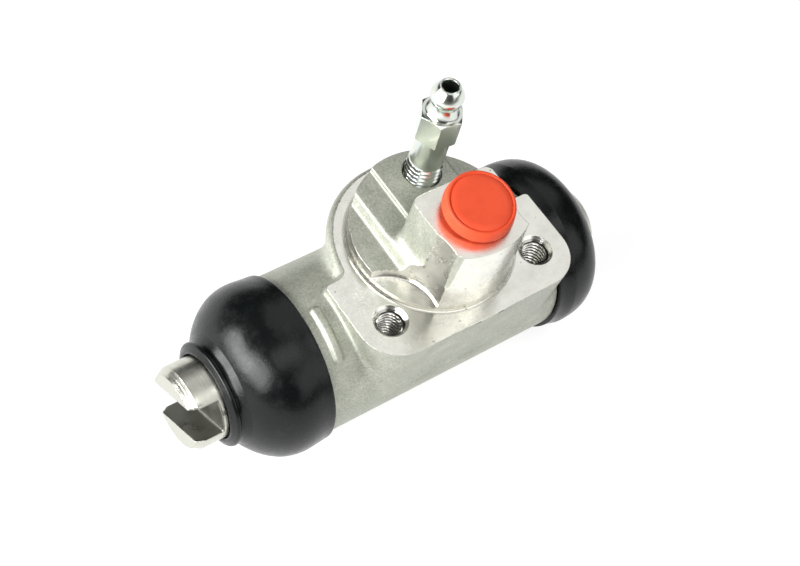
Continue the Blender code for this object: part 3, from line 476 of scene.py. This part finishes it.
def blended(tree, share, kind, first, second):
    """Mix of two colours or two numbers by a share that varies over the surface."""
    made = node(tree, "ShaderNodeMix", data_type=kind)
    sockets = [s for s in made.inputs if s.enabled and s.name in ("A", "B")]
    tree.links.new(share, [s for s in made.inputs if s.enabled and s.name == "Factor"][0])
    for socket, side in zip(sockets, (first, second)):
        if isinstance(side, (int, float)):
            socket.default_value = side
        elif isinstance(side, tuple):
            socket.default_value = (*side, 1.0)
        else:
            tree.links.new(side, socket)
    return [s for s in made.outputs if s.enabled][0]


def cut_share(tree, spot):
    """Where a tool has cut the casting, from the cuts' own sizes in millimetres.

    Returns 1 on a cut and 0 on the cast skin, and the distance from the axis that the cutter ran round.
    """
    split = node(tree, "ShaderNodeSeparateXYZ")
    tree.links.new(spot, split.inputs["Vector"])
    z = split.outputs["Z"]
    flat = (1.0, 1.0, 0.0)
    r = away_from(tree, spot, (0.0, 0.0, 0.0), flat)
    outside = reckon(tree, "GREATER_THAN", r, PILOT_RADIUS - 0.05)
    face = reckon(tree, "MULTIPLY", reckon(tree, "COMPARE", z, 0.0, 0.03), outside)
    wall = reckon(tree, "COMPARE", r, PILOT_RADIUS, 0.05)
    groove = reckon(tree, "MULTIPLY", outside, reckon(tree, "LESS_THAN", r, GROOVE_OUT + 0.02))
    wall = reckon(tree, "MAXIMUM", wall, groove)
    wall = reckon(tree, "MULTIPLY", wall, reckon(tree, "GREATER_THAN", z, -0.8))
    found = reckon(tree, "MAXIMUM", face, wall)
    found = reckon(tree, "MAXIMUM", found, reckon(tree, "GREATER_THAN", z, BOSS_TOP - 0.03))
    high = reckon(tree, "GREATER_THAN", z, SCALLOP_FLOOR - 0.05)
    tracks = r
    for side in (-1, 1):
        away = away_from(tree, spot, (side * HOLE_X, HOLE_Y, 0.0), flat)
        widened = reckon(tree, "MULTIPLY_ADD", z, SCALLOP_DRAFT, SCALLOP_RADIUS[side] + 0.01)
        clear = reckon(tree, "LESS_THAN", away, widened)
        milled = reckon(tree, "MULTIPLY", clear, high)
        tracks = blended(tree, milled, "FLOAT", tracks, away)
        found = reckon(tree, "MAXIMUM", found, milled)
    for x, y, radius, floor in (
        (-HOLE_X, HOLE_Y, 3.95, -11.0),
        (HOLE_X, HOLE_Y, 3.95, -11.0),
        (PORT_X, PORT_Y, 5.3, 7.0),
        (BLEED_X, BLEED_Y, 4.45, -6.5),
    ):
        away = away_from(tree, spot, (x, y, 0.0), flat)
        hole = reckon(tree, "LESS_THAN", away, radius)
        hole = reckon(tree, "MULTIPLY", hole, reckon(tree, "GREATER_THAN", z, floor))
        found = reckon(tree, "MAXIMUM", found, hole)
    return found, tracks


def casting_finish():
    """Sand-fine grey cast skin, and bright faces with the cutter's rings wherever the casting is machined."""
    made, tree, shader = finish_base("cast_and_machined_aluminium", (0.55, 0.56, 0.50), 0.5, 0.45)
    spot = place(tree)
    cut, tracks = cut_share(tree, place(tree, (1000.0,) * 3))
    grain = noise(tree, spot, 2400.0, 2.0, 0.7)
    cloud = noise(tree, spot, 150.0, 4.0, 0.6)
    smear = noise(tree, spot, 260.0, 5.0, 0.65)
    mixed = blended(tree, reckon(tree, "MULTIPLY", cloud, 0.8), "FLOAT", grain, cloud)
    cast_tones = [(0.3, (0.27, 0.28, 0.23)), (0.5, (0.43, 0.445, 0.375)), (0.7, (0.61, 0.62, 0.54))]
    cut_tones = [(0.32, (0.81, 0.80, 0.73)), (0.5, (0.88, 0.87, 0.80)), (0.7, (0.93, 0.92, 0.86))]
    skin = ramp(tree, mixed, cast_tones)
    bright = ramp(tree, smear, cut_tones)
    pits = node(tree, "ShaderNodeTexVoronoi", {"Scale": 330.0, "Randomness": 1.0})
    tree.links.new(spot, pits.inputs["Vector"])
    clear = ramp(tree, pits.outputs["Distance"], [(0.03, 0.0), (0.075, 1.0)])
    bright = blended(tree, clear, "RGBA", (0.22, 0.21, 0.18), bright)
    tree.links.new(blended(tree, cut, "RGBA", skin, bright), shader.inputs["Base Color"])
    tree.links.new(blended(tree, cut, "FLOAT", 0.55, 1.0), shader.inputs["Metallic"])
    matt = ramp(tree, cloud, [(0.3, 0.38), (0.7, 0.50)])
    clean = ramp(tree, cloud, [(0.35, 0.20), (0.65, 0.30)])
    tree.links.new(blended(tree, cut, "FLOAT", matt, clean), shader.inputs["Roughness"])
    rings = noise(tree, as_line(tree, tracks), 6.0, 2.0, 0.6)
    low = reckon(tree, "MULTIPLY", rings, 0.16)
    high = reckon(tree, "MULTIPLY", grain, 0.55)
    bumped(tree, shader, blended(tree, cut, "FLOAT", high, low), 1.0, 0.00009, 0.0002)
    return made


def slot_shade_metal(name, colour, roughness):
    """Metal with faint smears, in the colour given; used only for the piston slot, made dark with painted
    shade.
    """
    made, tree, shader = finish_base(name, colour, roughness, 1.0)
    smear = noise(tree, place(tree), 240.0, 4.0, 0.6)
    rough = ramp(tree, smear, [(0.3, roughness * 0.75), (0.7, roughness * 1.5)])
    tree.links.new(rough, shader.inputs["Roughness"])
    return made


def turned_metal(name, colour, roughness, pitch=6000.0, strength=0.35):
    """Turned steel: fine grooves that follow the lathe round the bore's axis."""
    made, tree, shader = finish_base(name, colour, roughness, 1.0)
    grooves = noise(tree, place(tree, (1.0, 0.02, 0.02)), pitch, 2.0, 0.7)
    bumped(tree, shader, grooves, strength, 0.00005, 0.00015)
    smear = noise(tree, place(tree), 300.0, 3.0, 0.6)
    rough = ramp(tree, smear, [(0.3, roughness * 0.7), (0.7, roughness * 1.5)])
    tree.links.new(rough, shader.inputs["Roughness"])
    return made


def plated(name, colour, roughness):
    """Bright zinc plate with a faint cloudy tint."""
    made, tree, shader = finish_base(name, colour, roughness, 1.0)
    cloud = noise(tree, place(tree), 380.0, 3.0, 0.6)
    warm = tuple(min(1.0, c * f) for c, f in zip(colour, (1.08, 1.02, 0.92)))
    tint = ramp(tree, cloud, [(0.35, colour), (0.7, warm)])
    tree.links.new(tint, shader.inputs["Base Color"])
    grain = noise(tree, place(tree), 4200.0, 2.0, 0.6)
    bumped(tree, shader, grain, 0.12, 0.00003, 0.00012)
    return made


def rubber_skin():
    """Black moulded rubber, half glossy, with a thin bloom of dust in soft patches."""
    made, tree, shader = finish_base("black_boot_rubber", (0.004, 0.005, 0.005), 0.28, 0.0)
    spot = place(tree)
    shader.inputs["Specular IOR Level"].default_value = 0.31
    bloom = noise(tree, spot, 420.0, 5.0, 0.7)
    dust = ramp(tree, bloom, [(0.55, (0.0035, 0.0045, 0.0045)), (0.8, (0.011, 0.014, 0.013))])
    tree.links.new(dust, shader.inputs["Base Color"])
    rough = ramp(tree, bloom, [(0.35, 0.20), (0.7, 0.34)])
    tree.links.new(rough, shader.inputs["Roughness"])
    fine = noise(tree, spot, 700.0, 5.0, 0.75)
    bumped(tree, shader, fine, 0.5, 0.00007)
    return made


def plug_plastic():
    """Soft moulded plastic in red orange, satin, with a slight ripple."""
    made, tree, shader = finish_base("orange_plug_plastic", (0.84, 0.09, 0.03), 0.48, 0.0)
    spot = place(tree)
    cloud = noise(tree, spot, 260.0, 3.0, 0.6)
    tone = ramp(tree, cloud, [(0.3, (0.80, 0.080, 0.026)), (0.7, (0.88, 0.098, 0.034))])
    tree.links.new(tone, shader.inputs["Base Color"])
    bumped(tree, shader, noise(tree, spot, 900.0, 3.0, 0.5), 0.12, 0.00006)
    shader.inputs["Specular IOR Level"].default_value = 0.3
    return made


def make_casting():
    """The casting with its machined faces, each face given the finish of the cut that made it."""
    aluminium = casting_finish()
    finishes = [aluminium, turned_metal("turned_bore", (0.80, 0.80, 0.77), 0.2)]

    def choose(centres):
        x, y, z = centres.T
        cut = raw_casting(x, y, z) < -0.035
        around = np.hypot(y - AXIS_Y, z - AXIS_Z)
        along = np.abs(x - MIDDLE_X)
        return np.where(cut & ((around < 9.7) | (along > 29.6) & (z < -1.0)), TURNED, 0)

    low = (-40.0, -23.0, -39.0)
    high = (32.0, 23.0, 20.2)
    made = skinned("cast_body", cast_body, low, high, 0.5, finishes, choose)
    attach(made, "housing")
    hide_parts("cylinder_body")
    make_foot_groove(aluminium)


def make_foot_groove(aluminium):
    """The relief turned at the pilot's foot: a half-round groove r = 18.3 + 0.27 cos t, z = -0.27 sin t."""
    turn = np.linspace(math.pi, 0.0, 9)
    middle = PILOT_RADIUS + 0.3
    groove = np.stack([middle + 0.27 * np.cos(turn), -0.27 * np.sin(turn)], axis=1)
    rest = np.array([(GROOVE_OUT, 0.0), (GROOVE_OUT, -0.55), (PILOT_RADIUS, -0.55)])
    outline = np.concatenate([groove, rest])
    angles = np.linspace(0.0, 2 * math.pi, 480, endpoint=False)
    points = revolved(outline[:, 1], outline[:, 0][:, None], angles)
    faces = grid_faces(len(outline), len(angles), True)
    made = mesh_object("pilot_foot_groove", points, faces, [aluminium], sharp=35)
    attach(made, "housing")


def make_pistons():
    """Two turned pistons; the right one is pushed in."""
    steel = turned_metal("turned_piston_steel", (0.62, 0.62, 0.55), 0.3, 2600.0, 1.0)
    # Painted shade: the slot's faces are coloured dark for the shade inside the slot; the piston is all one
    # steel.
    slot = slot_shade_metal("piston_slot_painted_shade", (0.24, 0.24, 0.21), 0.34)
    for name, side, inner, outer, turn in (
        ("left", -1, 31.3, 61.58, math.radians(31)),
        ("right", 1, 14.6, 44.9, 0.0),
    ):
        distance = piston_shape(inner, outer, side, turn)

        def in_slot(centres, side=side, outer=outer, turn=turn):
            x, y, z = centres.T
            across = (y - AXIS_Y) * math.sin(turn) + (z - AXIS_Z) * math.cos(turn)
            return (np.abs(across) < 3.9) & (side * x > outer - 6.5)

        ends = sorted((side * (inner - 0.9), side * (outer + 0.9)))
        low = (ends[0], AXIS_Y - 10.1, AXIS_Z - 10.1)
        high = (ends[1], AXIS_Y + 10.1, AXIS_Z + 10.1)
        made = skinned(f"{name}_piston_body", distance, low, high, 0.4, [steel, slot], in_slot)
        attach(made, f"{name}_piston")
        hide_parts(f"{name}_piston")


def dome(start, radius, end, end_radius, power, reach, steps):
    """Super-ellipse in from the full width towards the piston: ((u/l)^p + (h/r)^p = 1), up to a share."""
    share = np.sin(np.linspace(0.0, math.pi / 2, steps)) * reach
    height = (1.0 - share**power) ** (1.0 / power)
    return np.stack([start + (end - start) * share, end_radius + (radius - end_radius) * height], axis=1)


def boot_profile(side):
    """Closed outline of one boot as (along, radius), in millimetres from the barrel's middle."""
    foot = [(35.5, 17.1), (32.6, 17.1), (32.6, 15.9), (31.6, 15.9), (31.6, 17.1), (30.2, 17.1)]
    rim = [(30.2, 18.95), (30.35, 19.1), (31.8, 19.15)]
    if side < 0:
        shoulder = [(33.6, 19.35), (35.2, 19.48), (36.6, 19.44), (37.8, 19.28), (38.9, 19.0)]
        outer = np.concatenate([shoulder, dome(36.4, 19.6, 48.0, 8.3, 1.68, 0.87, 26)[6:]])
        lip = [(48.05, 11.15), (48.45, 11.75), (48.9, 11.9), (49.45, 11.7), (49.8, 11.0)]
        lip += [(50.2, 10.35), (50.2, 9.75), (49.9, 9.625), (48.1, 9.625)]
        hollow = dome(36.4, 17.9, 46.3, 6.6, 1.68, 0.87, 14)
    else:
        outer = dome(34.1, 19.8, 44.7, 8.3, 2.6, 0.965, 26)
        lip = [(44.1, 12.0), (43.2, 11.5), (42.1, 11.8), (41.7, 10.9), (41.7, 9.75)]
        lip += [(41.4, 9.625), (39.5, 9.625), (39.5, 10.6), (41.0, 12.6)]
        hollow = dome(34.1, 18.1, 43.0, 10.0, 2.6, 0.95, 14)
    parts = [np.array(rim), outer, np.array(lip), hollow[::-1], np.array(foot)]
    return rounded_off(np.concatenate(parts), 2)


def make_boots():
    """Two rubber boots, each turned from its outline."""
    rubber = rubber_skin()
    angles = np.linspace(0.0, 2 * math.pi, 144, endpoint=False)
    for name, side, start, end in (("left", -1, -44.0, -53.5), ("right", 1, 31.5, 38.5)):
        outline = boot_profile(side)
        spun = revolved(outline[:, 0], outline[:, 1][:, None], angles)
        along = side * spun[:, 2] + MIDDLE_X
        points = np.stack([along, spun[:, 0] + AXIS_Y, spun[:, 1] + AXIS_Z], axis=1)
        faces = grid_faces(len(outline), len(angles), True)
        made = mesh_object(f"{name}_boot", points, faces[:, ::side], [rubber], sharp=50)
        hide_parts(f"{name}_dust_boot")
        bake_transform(made)


def thread_depth(height, angles, pitch):
    """Share of a thread's depth, 0 on the crest and 1 in the root, for a right-hand thread."""
    phase = np.asarray(height)[:, None] / pitch - angles[None, :] / (2 * math.pi)
    wave = np.abs(2.0 * (phase - np.floor(phase)) - 1.0)
    return np.clip((wave - 0.12) / 0.76, 0.0, 1.0)


def make_bleed_screw():
    """Bleed screw: r(height, angle) with a helical thread, a hexagon trimmed by two cones, and a nipple."""
    zinc = plated("zinc_plated_steel", (0.70, 0.76, 0.74), 0.2)
    angles = math.radians(53) + np.linspace(0.0, 2 * math.pi, 168, endpoint=False)
    low = [(-3.5, 0.0), (-3.5, 1.0), (-3.3, 1.3), (-1.1, 3.5), (-0.7, 3.9), (4.0, 3.9)]
    thread = np.arange(4.1, 13.5, 0.09)
    shank = [(13.6, 3.7), (15.0, 3.7), (18.0, 3.7), (21.0, 3.7), (21.2, 3.7)]
    stretches = ((21.2, 21.6, 7), (22.4, 27.6, 5), (27.8, 28.4, 9))
    hexagon = np.concatenate([np.linspace(*stretch) for stretch in stretches])
    top = np.array(
        [(28.4, 3.55), (28.55, 3.4), (29.0, 3.2), (29.8, 2.85), (30.6, 2.7), (31.2, 2.7), (31.7, 2.85)]
        + [(32.2, 3.25), (32.6, 3.5), (33.1, 3.6), (33.6, 3.58), (34.1, 3.4), (34.8, 3.05), (35.4, 2.7)]
        + [(35.8, 2.45), (36.05, 2.2), (36.1, 1.95), (36.0, 1.78), (35.7, 1.7), (28.0, 1.7)]
        + [(5.0, 1.7), (4.9, 0.0)]
    )
    height = np.concatenate([[z for z, _ in low], thread, [z for z, _ in shank], hexagon, top[:, 0]])
    blank = np.full(len(thread), 3.9)
    round_radius = np.concatenate([[r for _, r in low], blank, [r for _, r in shank]])
    count = len(round_radius)
    radius = np.zeros((len(height), len(angles)))
    radius[:count] = round_radius[:, None]
    rows = slice(len(low), len(low) + len(thread))
    fade = np.clip((12.9 - thread) / 0.8, 0.0, 1.0)[:, None]
    cut = 3.9 - 0.62 * thread_depth(thread, angles, 1.25)
    radius[rows] = cut * fade + 3.7 * (1.0 - fade)
    turn = np.mod(angles - math.radians(53), math.pi / 3) - math.pi / 6
    flats = 4.2 / np.cos(turn)
    trimmed = np.minimum(4.2 + (28.4 - hexagon) * 1.62, 4.55 + (hexagon - 21.2) * 2.7)
    radius[count : count + len(hexagon)] = np.minimum(flats[None, :], trimmed[:, None])
    radius[count + len(hexagon) :] = top[:, 1][:, None]
    points = revolved(height, radius, angles) + np.array([BLEED_X, BLEED_Y, 0.0])
    faces = grid_faces(len(height), len(angles), False)
    made = mesh_object("bleed_screw_body", points, faces, [zinc], sharp=28)
    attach(made, "bleed_screw")
    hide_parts("bleed_screw")


def make_plug():
    """The shipping plug: a grooved head over a tapered stem, turned and then tilted as it sits."""
    outline = np.array(
        [(1.9, 0.0), (1.8, 2.1), (-5.8, 2.1), (-5.8, 2.8), (-5.4, 3.2), (-0.1, 3.7)]
        + [(0.0, 3.8), (0.0, 7.55)]
        + [(0.12, 7.68), (0.4, 7.7), (1.5, 7.52), (2.45, 7.34), (2.68, 7.26), (2.82, 7.12), (2.9, 6.95)]
        + [(2.9, 6.78), (2.84, 6.68), (2.66, 6.6), (2.6, 6.5), (2.66, 6.4), (2.8, 6.32)]
        + [(2.87, 6.2), (2.88, 5.0), (2.86, 2.5), (2.85, 0.0)]
    )
    angles = np.linspace(0.0, 2 * math.pi, 160, endpoint=False)
    points = revolved(outline[:, 0], outline[:, 1][:, None], angles)
    tilt = np.array(Euler((math.radians(8.3), math.radians(-2.2), 0.0)).to_matrix())
    points = points @ tilt.T + np.array([1.1, -8.1, 20.65])
    faces = grid_faces(len(outline), len(angles), False)
    made = mesh_object("shipping_plug", points, faces, [plug_plastic()], sharp=60)
    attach(made, "inlet_plug")
    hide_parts("inlet_plug")


def make_hole_threads():
    """Threaded skins of the two fixing holes: r = max(thread, countersink cone), pitch 1 mm; painted shade
    darkens the thread roots.
    """
    bright, tree, shader = finish_base("cut_threads", (0.72, 0.70, 0.66), 0.2, 1.0)
    root = node(tree, "ShaderNodeAttribute", attribute_name="painted_root_shade")
    # Painted shade: the colour runs from bright metal on the crests to near black in the thread roots, where
    # shade falls.
    tone = ramp(tree, root.outputs["Fac"], [(0.15, (0.90, 0.88, 0.82)), (0.6, (0.04, 0.04, 0.036))])
    tree.links.new(tone, shader.inputs["Base Color"])
    angles = np.linspace(0.0, 2 * math.pi, 108, endpoint=False)
    height = np.arange(-0.61, -9.7, -0.07)
    depth = thread_depth(height, -angles, 1.0)
    radius = 2.55 + 0.62 * depth
    cone = (HOLE_SINK + height)[:, None]
    # The countersink cone gets part of the painted shade.
    depth = np.where(radius < cone, 0.35, depth)
    radius = np.maximum(radius, cone)
    # The hidden outer skin gets all of the painted shade.
    painted_root_shade = np.concatenate([depth.ravel(), np.ones(2 * len(angles))])
    outer = np.array([[height[-1], 3.32], [height[0], 3.32]])
    inside = revolved(height, radius, angles)
    outside = revolved(outer[:, 0], outer[:, 1][:, None], angles)
    points = np.concatenate([inside, outside])
    faces = grid_faces(len(height) + 2, len(angles), True)
    for name, side in (("left", -1), ("right", 1)):
        moved = points + np.array([side * HOLE_X, HOLE_Y, 0.0])
        made = mesh_object(f"{name}_hole_thread", moved, faces, [bright], sharp=40)
        shade = made.data.attributes.new("painted_root_shade", "FLOAT", "POINT")
        shade.data.foreach_set("value", painted_root_shade)
        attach(made, "housing")


def dress_inner_pieces():
    """Cups, expanders and spring keep their solids and get finishes."""
    rubber = bpy.data.materials["black_boot_rubber"]
    steel = turned_metal("spring_wire", (0.34, 0.34, 0.35), 0.3)
    sheet = plated("pressed_sheet", (0.62, 0.66, 0.66), 0.26)
    for name, finish in (
        ("left_piston_cup", rubber),
        ("right_piston_cup", rubber),
        ("left_cup_expander", sheet),
        ("right_cup_expander", sheet),
        ("return_spring", steel),
    ):
        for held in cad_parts[name].material_slots:
            held.material = finish


def area_light(name, place_mm, aim_mm, size, power):
    """A soft white lamp at one point, turned to face another; both in millimetres, its size in metres."""
    data = bpy.data.lights.new(name, "AREA")
    data.shape = "RECTANGLE"
    data.size, data.size_y = size
    data.energy = power
    made = bpy.data.objects.new(name, data)
    where = np.array(place_mm) * MM
    back = where - np.array(aim_mm) * MM
    back /= np.linalg.norm(back)
    side = np.cross((0.0, 0.0, 1.0), back)
    side /= np.linalg.norm(side)
    turn = np.stack([side, np.cross(back, side), back], axis=1)
    made.matrix_world = Matrix.Translation(where.tolist()) @ Matrix(turn.tolist()).to_4x4()
    bpy.context.scene.collection.objects.link(made)


def make_studio():
    """A pale floor, a pale surrounding and soft lamps from above and both sides."""
    low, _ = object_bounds()
    reach = 1.6
    level = low[2] / MM - 0.05
    corners = np.array([(-1, -1), (1, -1), (1, 1), (-1, 1)]) * reach / MM
    points = np.array([(x, y, level) for x, y in corners])
    made, tree, shader = finish_base("pale_floor", (0.90, 0.90, 0.90), 0.9, 0.0)
    veil = node(tree, "ShaderNodeBsdfDiffuse", {"Color": (0.36, 0.36, 0.36, 1.0)})
    path = node(tree, "ShaderNodeLightPath")
    seen = node(tree, "ShaderNodeMath", operation="MAXIMUM")
    tree.links.new(path.outputs["Is Camera Ray"], seen.inputs[0])
    tree.links.new(path.outputs["Is Glossy Ray"], seen.inputs[1])
    glow = node(tree, "ShaderNodeEmission", {"Color": (1.0, 1.0, 1.0, 1.0)})
    away = away_from(tree, place(tree), (0.0, 0.0, 0.0), (1.0, 1.0, 0.0))
    tree.links.new(ramp(tree, away, [(0.16, 0.80), (0.75, 1.0)]), glow.inputs["Strength"])
    added = node(tree, "ShaderNodeAddShader")
    both = node(tree, "ShaderNodeMixShader")
    tree.links.new(veil.outputs["BSDF"], added.inputs[0])
    tree.links.new(glow.outputs["Emission"], added.inputs[1])
    tree.links.new(seen.outputs["Value"], both.inputs["Fac"])
    tree.links.new(shader.outputs["BSDF"], both.inputs[1])
    tree.links.new(added.outputs["Shader"], both.inputs[2])
    tree.links.new(both.outputs["Shader"], tree.nodes["Material Output"].inputs["Surface"])
    mesh_object("studio_floor", points, [(0, 1, 2, 3)], [made])

    world = bpy.data.worlds.new("studio_surrounding")
    bpy.context.scene.world = world
    world.use_nodes = True
    tree = world.node_tree
    background = tree.nodes["Background"]
    coordinates = node(tree, "ShaderNodeTexCoord")
    split = node(tree, "ShaderNodeSeparateXYZ")
    tree.links.new(coordinates.outputs["Generated"], split.inputs["Vector"])
    shade = ramp(tree, split.outputs["Z"], [(0.0, 0.03), (0.25, 0.04), (0.6, 0.08), (1.0, 0.14)])
    path = node(tree, "ShaderNodeLightPath")
    mixed = node(tree, "ShaderNodeMix", data_type="RGBA")
    mixed.inputs["B"].default_value = (1.0, 1.0, 1.0, 1.0)
    tree.links.new(path.outputs["Is Camera Ray"], mixed.inputs["Factor"])
    tree.links.new(shade, mixed.inputs["A"])
    tree.links.new(mixed.outputs["Result"], background.inputs["Color"])
    area_light("key_softbox", (-440, -90, 180), (0, 0, -10), (0.26, 0.24), 1.9)
    area_light("low_left_softbox", (-450, 160, 140), (0, 0, -10), (0.34, 0.20), 2.5)
    area_light("front_softbox", (215, -400, 240), (0, 0, -10), (0.50, 0.30), 0.6)
    area_light("overhead_panel", (222, 182, 409), (0, 0, -10), (0.42, 0.42), 0.44)
    area_light("front_top_panel", (0, -180, 420), (0, 0, -10), (0.56, 0.20), 0.6)


def make_camera():
    """The camera as found from the photograph: its right, up and back directions, place and lens."""
    right = (0.807871, -0.557619, 0.190801)
    up = (0.386288, 0.745500, 0.543150)
    back = (-0.445113, -0.365091, 0.817669)
    data = bpy.data.cameras.new("photo_camera")
    data.sensor_width = 36.0
    data.lens = 72.9229
    data.clip_start = 0.01
    data.clip_end = 20.0
    made = bpy.data.objects.new("photo_camera", data)
    turn = Matrix(np.stack([right, up, back], axis=1).tolist()).to_4x4()
    made.matrix_world = Matrix.Translation((-0.1623061, -0.1293777, 0.2757805)) @ turn
    bpy.context.scene.collection.objects.link(made)
    bpy.context.scene.camera = made


make_camera()
make_casting()
make_pistons()
make_boots()
make_bleed_screw()
make_plug()
make_hole_threads()
dress_inner_pieces()
make_studio()
bpy.context.scene.view_settings.view_transform = "Standard"
